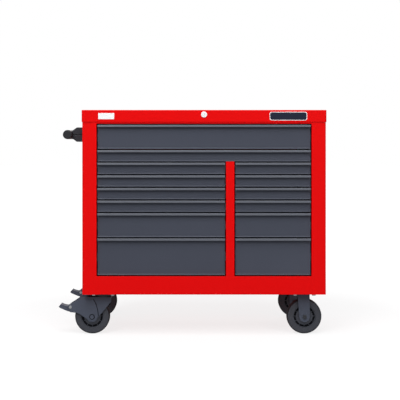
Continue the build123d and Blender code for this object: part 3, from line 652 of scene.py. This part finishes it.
def makeRowTree(name, ball):
    # a row of blocks, or of balls, set out by a start, a step and a count
    tree, start, end = newRepeatTree(name, [
        ("Count", "NodeSocketInt"), ("Start", "NodeSocketVector"), ("Step", "NodeSocketVector"),
        ("Size", "NodeSocketVector"), ("Material", "NodeSocketMaterial")])
    line = tree.nodes.new("GeometryNodeMeshLine")
    line.mode = "OFFSET"
    tree.links.new(start.outputs["Count"], line.inputs["Count"])
    tree.links.new(start.outputs["Start"], line.inputs["Start Location"])
    tree.links.new(start.outputs["Step"], line.inputs["Offset"])
    if ball:
        shape = tree.nodes.new("GeometryNodeMeshIcoSphere")
        shape.inputs["Radius"].default_value = 0.5
        shape.inputs["Subdivisions"].default_value = 2
    else:
        shape = tree.nodes.new("GeometryNodeMeshCube")
    place = tree.nodes.new("GeometryNodeInstanceOnPoints")
    tree.links.new(line.outputs["Mesh"], place.inputs["Points"])
    tree.links.new(shape.outputs["Mesh"], place.inputs["Instance"])
    tree.links.new(start.outputs["Size"], place.inputs["Scale"])
    finishRepeatTree(tree, start, end, place.outputs["Instances"])
    return tree


def makeRingTree(name):
    # blocks round a Y axis, each with its first side pointing outwards
    tree, start, end = newRepeatTree(name, [
        ("Count", "NodeSocketInt"), ("Radius", "NodeSocketFloat"), ("Centre", "NodeSocketVector"),
        ("Size", "NodeSocketVector"), ("Material", "NodeSocketMaterial")])
    circle = tree.nodes.new("GeometryNodeMeshCircle")
    tree.links.new(start.outputs["Count"], circle.inputs["Vertices"])
    tree.links.new(start.outputs["Radius"], circle.inputs["Radius"])
    cube = tree.nodes.new("GeometryNodeMeshCube")
    here = tree.nodes.new("GeometryNodeInputPosition")
    align = tree.nodes.new("FunctionNodeAlignEulerToVector")
    align.axis = "X"
    tree.links.new(here.outputs["Position"], align.inputs["Vector"])
    place = tree.nodes.new("GeometryNodeInstanceOnPoints")
    tree.links.new(circle.outputs["Mesh"], place.inputs["Points"])
    tree.links.new(cube.outputs["Mesh"], place.inputs["Instance"])
    tree.links.new(align.outputs["Rotation"], place.inputs["Rotation"])
    tree.links.new(start.outputs["Size"], place.inputs["Scale"])
    finishRepeatTree(tree, start, end, place.outputs["Instances"], (math.radians(90), 0.0, 0.0))
    return tree


repeatTrees = {"blocks": makeRowTree("blockRow", False), "balls": makeRowTree("ballRow", True),
               "ring": makeRingTree("blockRing")}


def addRepeat(piece, kind, materialName, **values):
    tree = repeatTrees[kind]
    repeat = piece.modifiers.new(kind, "NODES")
    repeat.node_group = tree
    for item in tree.interface.items_tree:
        label = item.name.lower()
        if item.in_out == "INPUT" and label in values:
            repeat[item.identifier] = values[label]
        elif item.in_out == "INPUT" and label == "material":
            repeat[item.identifier] = materials[materialName]


def wholePiece(name, mesh, materialName, body, standsFor=(), soften=0.0):
    piece = newPiece(name, mesh, materialName)
    shadeByAngle(mesh)
    if soften:
        softenEdges(piece, soften)
    finishPiece(piece, body)
    if standsFor:
        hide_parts(*standsFor)
    return piece


print("helpers and repeat trees ready")


drawerStyle = {"pullDeep": 16.1 * mm, "pullDrop": 14 * mm, "pullAbove": 1.8 * mm, "paintedShadeDeep": 2 * mm,
               "frontEdge": 0.5 * mm, "pullEdge": 0.35 * mm, "trayEdge": 0.3 * mm, "memberEdge": 0.2 * mm,
               "memberWide": 10 * mm, "sheet": 1.2 * mm, "linerGap": 2.0 * mm, "linerThick": 1.6 * mm,
               "ribPitch": 9.0 * mm, "ribWidth": 3.5 * mm, "ribHeight": 0.8 * mm, "ribShort": 4 * mm}
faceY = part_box("drawer_left_1")[0].y + drawerStyle["pullDeep"]


def isPull(centre, panTop):
    # the pull stands proud of the front, or lies over the top of its pan
    inFront = centre.y < faceY - mm and centre.z > panTop - drawerStyle["pullDrop"]
    return inFront or centre.z > panTop + 0.02 * mm


def makeDrawer(nodeName):
    body = bodyOf[nodeName]
    members, tray, front = [], None, None
    for island in islandsOf(nodeName):
        if island["low"].y < faceY:
            front = island
        elif island["size"].x < drawerStyle["memberWide"]:
            members.append(island["mesh"])
        else:
            tray = island
    panTop = front["high"].z - drawerStyle["pullAbove"]
    pull, pan = splitMesh(front["mesh"], nodeName,
                          lambda face: isPull(face.calc_center_median(), panTop))
    wholePiece(f"{nodeName}_front", pan, "charcoalPowderCoat", body, (nodeName,),
               drawerStyle["frontEdge"])
    # the pull's top behind the front's plane is painted near black: painted shade under the front above, so
    # the gap between drawers reads dark
    shade = faceY - drawerStyle["paintedShadeDeep"]
    cutMesh(pull, (0.0, shade, 0.0), (0.0, 1.0, 0.0))
    rootPaintedShade, lip = splitMesh(pull, nodeName, lambda face: face.calc_center_median().y > shade)
    # the pull gets the lighter paint, partly a painted highlight on its lip
    wholePiece(f"{nodeName}_pull", lip, "pullPaintWithPaintedLight", body, (nodeName,),
               drawerStyle["pullEdge"])
    wholePiece(f"{nodeName}_pull_root_painted_shade", rootPaintedShade, "grooveShade", body, (nodeName,))
    wholePiece(f"{nodeName}_tray", tray["mesh"], "charcoalPowderCoat", body, (nodeName,),
               drawerStyle["trayEdge"])
    wholePiece(f"{nodeName}_slide_members", joinMeshes(nodeName, members), "zincPlate", body,
               (nodeName,), drawerStyle["memberEdge"])
    makeLiner(nodeName, tray, body)


def makeLiner(nodeName, tray, body):
    # a ribbed mat on the tray's floor
    wall = drawerStyle["sheet"] + drawerStyle["linerGap"]
    low = tray["low"] + Vector((wall, wall, drawerStyle["sheet"]))
    high = tray["high"] - Vector((wall, wall, 0.0))
    high.z = low.z + drawerStyle["linerThick"]
    liner = newPiece(f"{nodeName}_liner", boxMesh("liner", [(low, high)]), "linerRubber")
    count = int((high.x - low.x) / drawerStyle["ribPitch"]) - 1
    first = (low.x + high.x) / 2 - (count - 1) * drawerStyle["ribPitch"] / 2
    addRepeat(liner, "blocks", "linerRubber", count=count,
              start=(first, (low.y + high.y) / 2, high.z + drawerStyle["ribHeight"] / 2),
              step=(drawerStyle["ribPitch"], 0.0, 0.0),
              size=(drawerStyle["ribWidth"], high.y - low.y - drawerStyle["ribShort"],
                    drawerStyle["ribHeight"]))
    applyModifiers(liner)
    finishPiece(liner, body)


for nodeName in drawerNames:
    makeDrawer(nodeName)
print("drawers made:", len(drawerNames))


slideStyle = {"edge": 0.2 * mm, "ballCount": 14, "ballSize": 1.3 * mm, "ballMargin": 20 * mm,
              "ballOut": 0.7 * mm}


def makeMidSlides(nodeName):
    body = bodyOf[nodeName]
    islands = islandsOf(nodeName)
    mesh = joinMeshes(nodeName, [island["mesh"] for island in islands])
    piece = newPiece(f"{nodeName}_members", mesh, "zincPlate")
    shadeByAngle(mesh)
    softenEdges(piece, slideStyle["edge"], 1)
    for island in islands:
        low, high = island["low"], island["high"]
        length = island["size"].y - 2 * slideStyle["ballMargin"]
        for z in (low.z - slideStyle["ballOut"], high.z + slideStyle["ballOut"]):
            addRepeat(piece, "balls", "chromePlate", count=slideStyle["ballCount"],
                      start=((low.x + high.x) / 2, low.y + slideStyle["ballMargin"], z),
                      step=(0.0, length / (slideStyle["ballCount"] - 1), 0.0),
                      size=(slideStyle["ballSize"],) * 3)
    applyModifiers(piece)
    finishPiece(piece, body)
    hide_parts(nodeName)


for nodeName in sorted(nodes):
    if nodeName.startswith("mid_slides_"):
        makeMidSlides(nodeName)
print("slides made")


# the brake's side plates: places (x, z) from the axle and the rest in millimetres; the seam entries set out a
# near-black strip of painted shade along the plate's front edge
sidePlate = {"thick": 1.5, "seam": 1.7, "seamShadeThick": 1.55, "seamShadeCorners": 4, "washer": (9.8, 13.4),
             "washerThick": 1.9,
             "outline": ((30, 4), (27, 32), (19, 60), (7, 84), (-50, 84), (-78, 71), (-99, 58), (-109, 51),
                         (-111, 36), (-102, 24), (-74, 21), (-57, 13), (-23, -10), (0, -23), (21, -8))}


def forkSides(nodeName):
    # the axle's centre, and each outer face of the fork with the way it looks
    low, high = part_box(nodeName.replace("swivel_fork", "wheel") + "_left")
    forkLow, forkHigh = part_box(nodeName)
    return (low + high) / 2, ((forkLow.y, -1), (forkHigh.y, 1))


def sidePlateMeshes(nodeName):
    axle, sides = forkSides(nodeName)
    outline = [(axle.x + x * mm, axle.z + z * mm) for x, z in sidePlate["outline"]]
    return [plateMesh("plate", outline, face, face + out * sidePlate["thick"] * mm) for face, out in sides]


def makePlateShade(nodeName):
    # painted shade: a near-black strip along the plate's front edge standing in for the shadow in the gap
    # there, and a washer round the axle bolt in the same near black
    axle, sides = forkSides(nodeName)
    seam = sidePlate["seam"]
    edge = sidePlate["outline"][:sidePlate["seamShadeCorners"]]
    outline = [(axle.x + (x + seam) * mm, axle.z + z * mm) for x, z in edge]
    outline += [(axle.x + (x - seam) * mm, axle.z + z * mm) for x, z in reversed(edge)]
    inner, outer = (radius * mm for radius in sidePlate["washer"])
    meshes = []
    for face, out in sides:
        meshes.append(plateMesh("seam", outline, face, face + out * sidePlate["seamShadeThick"] * mm))
        rise = face + out * sidePlate["washerThick"] * mm
        meshes.append(spunMesh("washer", [(inner, face), (outer, face), (outer, rise), (inner, rise)],
                               (axle.x, axle.z), 48))
    wholePiece(f"{nodeName}_plate_shade", joinMeshes("shade", meshes), "grooveShade", bodyOf[nodeName])


for nodeName in ("swivel_fork_front", "swivel_fork_rear"):
    makePlateShade(nodeName)


# the other steel pieces: material, slot and how far their edges are rounded, in millimetres
softCopies = {
    "side_panel_left": ("redPowderCoat", "red_paint", 0.35),
    "side_panel_right": ("redPowderCoat", "red_paint", 0.35),
    "header_rail": ("redPowderCoat", "red_paint", 0.35),
    "base_pan": ("redPowderCoat", "red_paint", 0.35),
    "top_cap": ("redPowderCoat", "red_paint", 0.35),
    "centre_divider": ("redPowderCoat", "red_paint", 0.35),
    # the divider shelf and the inner walls are painted near black: painted shade behind the gaps between the
    # drawers
    "divider_shelf": ("blackOxideAndPaintedShade", "charcoal_paint", 0.3),
    "inner_wall_left": ("blackOxideAndPaintedShade", "charcoal_paint", 0.3),
    "inner_wall_right": ("blackOxideAndPaintedShade", "charcoal_paint", 0.3),
    "back_panel": ("redPowderCoat", "red_paint", 0.3),
    "cabinet_slide_members": ("zincPlate", "zinc_steel", 0.2),
    "lock_bar": ("zincPlate", "zinc_steel", 0.3),
    "push_handle_brackets": ("handlePaint", "charcoal_paint", 1.2),
    "swivel_fork_front": ("casterPaint", "charcoal_paint", 0.8),
    "swivel_fork_rear": ("casterPaint", "charcoal_paint", 0.8),
    "rigid_forks": ("casterPaint", "charcoal_paint", 0.8),
    "swivel_plates": ("blackOxideAndPaintedShade", "charcoal_paint", 0.6),
    "brake_pedal_front": ("casterPaint", "charcoal_paint", 0.8),
    "brake_pedal_rear": ("casterPaint", "charcoal_paint", 0.8),
    "caster_bolts": ("zincPlate", "zinc_steel", 0.4),
    "caster_channels": ("blackOxideAndPaintedShade", "charcoal_paint", 0.4),
    "axle_bolts_right": ("blackOxideAndPaintedShade", "charcoal_paint", 0.5),
}
for nodeName, (materialName, slotName, edge) in softCopies.items():
    meshes = [island["mesh"] for island in islandsOf(nodeName)]
    if nodeName.startswith("swivel_fork"):
        meshes += sidePlateMeshes(nodeName)
    mesh = joinMeshes(nodeName, meshes)
    wholePiece(f"{nodeName}_soft", mesh, materialName, bodyOf[nodeName], (nodeName,), edge * mm)
print("soft-edged copies made:", len(softCopies))


handleStyle = {"capLong": 10 * mm, "capEdge": 0.8 * mm}


def makeHandle():
    # the tube, and the plastic cap at each end of it
    mesh = islandsOf("push_handle")[0]["mesh"]
    low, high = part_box("push_handle")
    cap = handleStyle["capLong"]
    caps, tube = splitMesh(mesh, "push_handle",
                           lambda face: not low.y + cap < face.calc_center_median().y < high.y - cap)
    wholePiece("push_handle_tube", tube, "handlePaint", "cabinet", ("push_handle",))
    wholePiece("push_handle_caps", caps, "blackPlasticAndPaintedShade", "cabinet", ("push_handle",),
               handleStyle["capEdge"])


lockStyle = {"slotWide": 1.58 * mm, "slotHigh": 7.9 * mm, "slotFrom": 0.3 * mm, "slotTo": 2.0 * mm}


def makeLock():
    for nodeName in ("lock_housing", "lock_cylinder"):
        mesh = islandsOf(nodeName)[0]["mesh"]
        wholePiece(f"{nodeName}_plated", mesh, "chromePlate", bodyOf[nodeName], (nodeName,))
    low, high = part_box("lock_housing")
    centre = ((low.x + high.x) / 2, (low.z + high.z) / 2)
    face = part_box("lock_cylinder")[0].y
    wide, tall = lockStyle["slotWide"] / 2, lockStyle["slotHigh"] / 2
    # a near-black box inside the key slot: painted shade in the keyway
    dark = boxMesh("keySlot", [((centre[0] - wide, face + lockStyle["slotFrom"], centre[1] - tall),
                                (centre[0] + wide, face + lockStyle["slotTo"], centre[1] + tall))])
    wholePiece("lock_key_slot_shade", dark, "blackPlasticAndPaintedShade", "lock_cylinder")


plateStyle = {"border": 2.6 * mm, "rise": 0.35 * mm, "round": 9.0 * mm, "sunk": 0.4 * mm,
              "plateEdge": 0.2 * mm, "fieldEdge": 0.15 * mm}


def makePlates():
    # a blank name plate with a pale border, and a blank white label
    label, badge = sorted(islandsOf("front_plates"), key=lambda island: island["low"].x)
    wholePiece("label_plate_blank", label["mesh"], "plateWhite", "cabinet", ("front_plates",),
               plateStyle["plateEdge"])
    wholePiece("name_plate_border", badge["mesh"], "plateWhite", "cabinet", ("front_plates",),
               plateStyle["plateEdge"])
    inset = plateStyle["border"]
    low = (badge["low"].x + inset, badge["low"].z + inset)
    high = (badge["high"].x - inset, badge["high"].z - inset)
    outline = roundedOutline(low, high, plateStyle["round"])
    front = badge["low"].y
    field = plateMesh("field", outline, front - plateStyle["rise"], front + plateStyle["sunk"])
    wholePiece("name_plate_field", field, "plateNavy", "cabinet", (), plateStyle["fieldEdge"])


makeHandle()
makeLock()
makePlates()
print("handle, lock and plates made")


# all in millimetres
wheelStyle = {"treadFrom": 78.0, "bandRadius": 71.0, "bandHalf": 0.9, "bandRise": 0.7, "bandSunk": 0.3,
              "bandSlope": 0.4, "guardInner": 18.5, "guardOuter": 27.0, "guardOut": 19.0, "guardThick": 1.2,
              "guardSlope": 0.8, "grooveInner": 39.5, "grooveOuter": 50.5, "grooveWide": 21, "hubEdge": 0.5,
              "ribCount": 12, "ribRadius": 45.0, "ribOut": 11.0, "ribSize": (10.2, 3.4, 3.0)}


def cornerRadii(face, middle):
    return [math.hypot(vert.co.x - middle[0], vert.co.z - middle[1]) for vert in face.verts]


def sidewallBands(centre, middle, half):
    # a thin raised ring on each side of the tyre
    inner, outer = (wheelStyle["bandRadius"] + side * wheelStyle["bandHalf"] for side in (-1, 1))
    slope = wheelStyle["bandSlope"]
    bands = []
    for side in (-1, 1):
        face = centre.y + side * (half - wheelStyle["bandSunk"] * mm)
        rise = face + side * wheelStyle["bandRise"] * mm
        profile = [(inner * mm, face), (outer * mm, face),
                   ((outer - slope) * mm, rise), ((inner + slope) * mm, rise)]
        bands.append(spunMesh("band", profile, middle))
    return bands


def threadGuards(centre, middle):
    # a flat ring on each side of the hub, round the axle
    inner, outer = wheelStyle["guardInner"] * mm, wheelStyle["guardOuter"] * mm
    guards = []
    for side in (-1, 1):
        face = centre.y + side * (wheelStyle["guardOut"] * mm)
        rise = face + side * wheelStyle["guardThick"] * mm
        profile = [(inner, face), (outer, face), (outer - wheelStyle["guardSlope"] * mm, rise), (inner, rise)]
        guards.append(spunMesh("guard", profile, middle, 48))
    return guards


def makeWheel(nodeName):
    body = bodyOf[nodeName]
    low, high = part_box(nodeName)
    centre = (low + high) / 2
    middle = (centre.x, centre.z)
    tyre, hub = sorted(islandsOf(nodeName), key=lambda island: -island["size"].x)

    def onTread(face):
        return min(cornerRadii(face, middle)) > wheelStyle["treadFrom"] * mm

    def inGroove(face):
        radii = cornerRadii(face, middle)
        return (min(radii) > wheelStyle["grooveInner"] * mm and max(radii) < wheelStyle["grooveOuter"] * mm
                and all(abs(vert.co.y - centre.y) < wheelStyle["grooveWide"] * mm for vert in face.verts))

    # the tread gets the darker rubber, partly painted shade on the rounded shoulder
    treadPaintedShade, wall = splitMesh(tyre["mesh"], "tyre", onTread)
    wholePiece(f"{nodeName}_tread", treadPaintedShade, "treadRubberPaintedShade", body, (nodeName,))
    sides = joinMeshes("tyre", [wall] + sidewallBands(centre, middle, tyre["size"].y / 2))
    wholePiece(f"{nodeName}_tyre", sides, "tyreRubber", body, (nodeName,))
    # the hub's groove is painted near black: painted shade in the recess
    groovePaintedShade, disc = splitMesh(hub["mesh"], "hub", inGroove)
    wholePiece(f"{nodeName}_groove", groovePaintedShade, "grooveShade", body, (nodeName,))
    piece = newPiece(f"{nodeName}_hub", joinMeshes("hub", [disc] + threadGuards(centre, middle)), "hubPlastic")
    shadeByAngle(piece.data)
    softenEdges(piece, wheelStyle["hubEdge"] * mm)
    size = tuple(part * mm for part in wheelStyle["ribSize"])
    for side in (-1, 1):
        addRepeat(piece, "ring", "hubPlastic", count=wheelStyle["ribCount"],
                  radius=wheelStyle["ribRadius"] * mm,
                  centre=(centre.x, centre.y + side * wheelStyle["ribOut"] * mm, centre.z), size=size)
    applyModifiers(piece)
    finishPiece(piece, body)
    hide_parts(nodeName)


for nodeName in sorted(nodes):
    if nodeName.startswith("wheel_"):
        makeWheel(nodeName)


pinStyle = {"pinEdge": 0.4 * mm, "boltEdge": 0.5 * mm}


def makeForkPins(nodeName):
    # the axle bolt wears the fork's paint and the brake's pin is bright
    pin, bolt = sorted(islandsOf(nodeName), key=lambda island: island["size"].z)
    body = bodyOf[nodeName]
    wholePiece(f"{nodeName}_brake_pin", pin["mesh"], "zincPlate", body, (nodeName,),
               pinStyle["pinEdge"])
    wholePiece(f"{nodeName}_axle_bolt", bolt["mesh"], "casterPaint", body, (nodeName,),
               pinStyle["boltEdge"])


for nodeName in ("fork_pins_front_left", "fork_pins_rear_left"):
    makeForkPins(nodeName)


rivetStyle = {"count": 9, "inset": 14.0 * mm, "size": (7.0 * mm, 2.4 * mm, 7.0 * mm), "sunk": 0.2 * mm}


def makeBackRivets():
    # pop rivets that hold the back panel to the side panels
    low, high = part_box("back_panel")
    inset = rivetStyle["inset"]
    rivets = newPiece("back_rivets", boxMesh("seed", []), "redPowderCoat")
    step = (high.z - low.z - 2 * inset) / (rivetStyle["count"] - 1)
    for x in (low.x + inset, high.x - inset):
        addRepeat(rivets, "balls", "redPowderCoat", count=rivetStyle["count"],
                  start=(x, high.y - rivetStyle["sunk"], low.z + inset), step=(0.0, 0.0, step),
                  size=rivetStyle["size"])
    applyModifiers(rivets)
    for face in rivets.data.polygons:
        face.use_smooth = True
    finishPiece(rivets, "cabinet")


makeBackRivets()
print("wheels, pins and rivets made")
